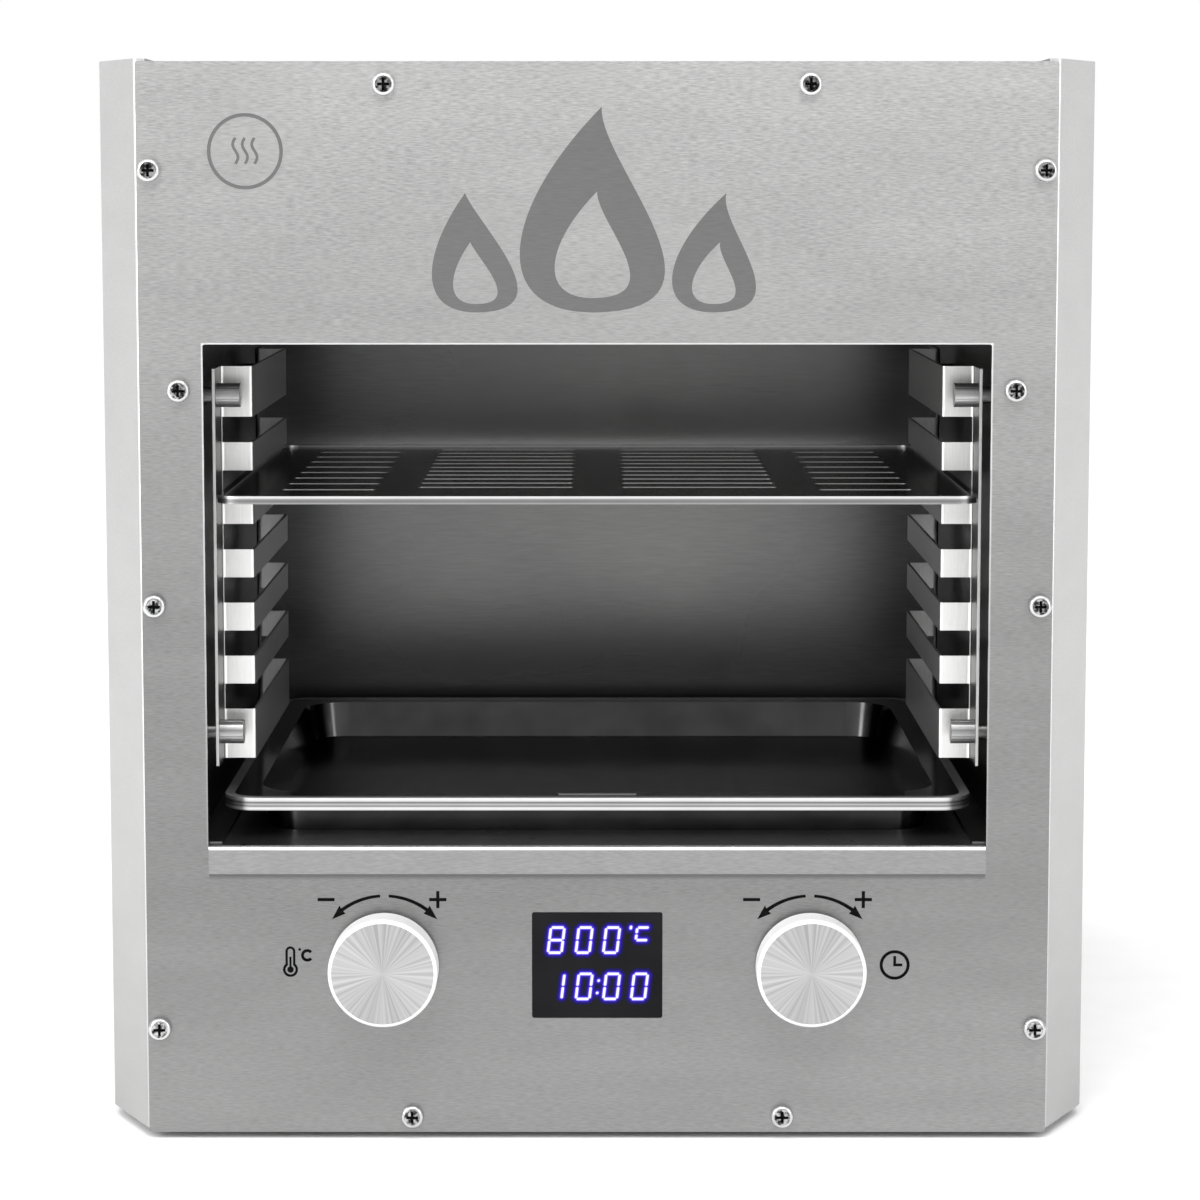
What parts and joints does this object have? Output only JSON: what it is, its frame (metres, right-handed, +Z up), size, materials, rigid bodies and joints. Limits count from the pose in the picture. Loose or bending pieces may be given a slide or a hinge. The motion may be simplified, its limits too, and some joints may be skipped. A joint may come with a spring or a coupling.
{
  "type": "electric top-heat infrared grill",
  "caption": "Tall stainless countertop grill: open chamber with rack guides, slotted rack and drip tray under a radiant heater, display and push-and-turn knobs below.",
  "frame": {"origin": "centre of the bounding box's footprint, on the plane that the feet stand on", "axes": "+Z up, -Y out of the open front, +X to the right when facing the front"},
  "size_m": [0.428, 0.4596, 0.4656],
  "materials": {
    "base_plate": "satin",
    "bay_posts": "satin",
    "bay_shield": "satin",
    "board_components": "matte",
    "board_standoffs": "satin",
    "case_screws": "polished",
    "chamber_back": "satin",
    "chamber_ceiling": "satin",
    "chamber_floor": "satin",
    "chamber_insulation": "matte",
    "control_board": "satin",
    "display_board": "satin",
    "display_module": "matte",
    "display_window": "gloss",
    "drip_tray": "polished",
    "encoder_bodies": "matte",
    "encoder_nuts": "satin",
    "fan_frame": "matte",
    "fan_guard": "polished",
    "fan_rotor": "matte",
    "fan_screws": "polished",
    "fascia": "satin",
    "fascia_screws": "polished",
    "feet": "matte",
    "feet_screws": "polished",
    "grill_rack": "polished",
    "guide_spacers": "satin",
    "guide_studs": "satin",
    "guide_thumbscrews": "polished",
    "heater_housing": "satin",
    "heater_insulation": "matte",
    "heater_plate": "matte",
    "heater_terminals": "gloss",
    "heating_coil": "matte",
    "heatsink": "satin",
    "inlet_pins": "satin",
    "inlet_screws": "polished",
    "left_chamber_wall": "satin",
    "left_rack_guide": "satin",
    "left_side_panel": "satin",
    "mains_inlet": "matte",
    "power_rocker": "gloss",
    "power_supply": "satin",
    "rear_cover": "satin",
    "right_chamber_wall": "satin",
    "right_rack_guide": "satin",
    "right_side_panel": "satin",
    "solid_state_relay": "matte",
    "switch_frame": "matte",
    "temp_knob": "satin",
    "temp_plunger": "matte",
    "temp_shaft": "satin",
    "terminal_block": "matte",
    "thermal_cutout": "gloss",
    "thermocouple": "satin",
    "timer_knob": "satin",
    "timer_plunger": "matte",
    "timer_shaft": "satin",
    "top_cover": "satin"
  },
  "bodies": {
    "chassis": {"base_plate": "base_plate", "bay_posts": "bay_posts", "bay_shield": "bay_shield", "board_components": "board_components", "board_standoffs": "board_standoffs", "case_screws": "case_screws", "chamber_back": "chamber_back", "chamber_ceiling": "chamber_ceiling", "chamber_floor": "chamber_floor", "chamber_insulation": "chamber_insulation", "control_board": "control_board", "display_board": "display_board", "display_module": "display_module", "display_window": "display_window", "encoder_bodies": "encoder_bodies", "encoder_nuts": "encoder_nuts", "fan_frame": "fan_frame", "fan_guard": "fan_guard", "fan_screws": "fan_screws", "fascia": "fascia", "fascia_screws": "fascia_screws", "feet": "feet", "feet_screws": "feet_screws", "guide_spacers": "guide_spacers", "guide_studs": "guide_studs", "guide_thumbscrews": "guide_thumbscrews", "heater_housing": "heater_housing", "heater_insulation": "heater_insulation", "heater_plate": "heater_plate", "heater_terminals": "heater_terminals", "heating_coil": "heating_coil", "heatsink": "heatsink", "inlet_pins": "inlet_pins", "inlet_screws": "inlet_screws", "left_chamber_wall": "left_chamber_wall", "left_rack_guide": "left_rack_guide", "left_side_panel": "left_side_panel", "mains_inlet": "mains_inlet", "power_supply": "power_supply", "rear_cover": "rear_cover", "right_chamber_wall": "right_chamber_wall", "right_rack_guide": "right_rack_guide", "right_side_panel": "right_side_panel", "solid_state_relay": "solid_state_relay", "switch_frame": "switch_frame", "terminal_block": "terminal_block", "thermal_cutout": "thermal_cutout", "thermocouple": "thermocouple", "top_cover": "top_cover"},
    "rack": {"grill_rack": "grill_rack"},
    "tray": {"drip_tray": "drip_tray"},
    "temp_push": {"temp_plunger": "temp_plunger"},
    "temp_dial": {"temp_knob": "temp_knob", "temp_shaft": "temp_shaft"},
    "timer_push": {"timer_plunger": "timer_plunger"},
    "timer_dial": {"timer_knob": "timer_knob", "timer_shaft": "timer_shaft"},
    "fan": {"fan_rotor": "fan_rotor"},
    "rocker": {"power_rocker": "power_rocker"}
  },
  "joints": [
    {"name": "rack_slide", "type": "slide", "parent": "chassis", "child": "rack", "axis": [0, -1, 0], "range_m": [0, 0.22]},
    {"name": "tray_slide", "type": "slide", "parent": "chassis", "child": "tray", "axis": [0, -1, 0], "range_m": [0, 0.22]},
    {"name": "temp_press", "type": "slide", "parent": "chassis", "child": "temp_push", "axis": [0, 1, 0], "range_m": [0, 0.0015], "stiffness_N_per_m": 2700},
    {"name": "temp_turn", "type": "hinge", "parent": "temp_push", "child": "temp_dial", "pos_m": [-0.0913, -0.22275, 0.0766], "axis": [0, -1, 0], "continuous": true},
    {"name": "timer_press", "type": "slide", "parent": "chassis", "child": "timer_push", "axis": [0, 1, 0], "range_m": [0, 0.0015], "stiffness_N_per_m": 2700},
    {"name": "timer_turn", "type": "hinge", "parent": "timer_push", "child": "timer_dial", "pos_m": [0.0913, -0.22275, 0.0766], "axis": [0, -1, 0], "continuous": true},
    {"name": "fan_spin", "type": "hinge", "parent": "chassis", "child": "fan", "pos_m": [-0.1, 0.21125, 0.072], "axis": [0, 1, 0], "continuous": true},
    {"name": "rocker_tilt", "type": "hinge", "parent": "chassis", "child": "rocker", "pos_m": [0.078, 0.21965, 0.066], "axis": [-1, 0, 0], "range_deg": [0, 20]}
  ]
}
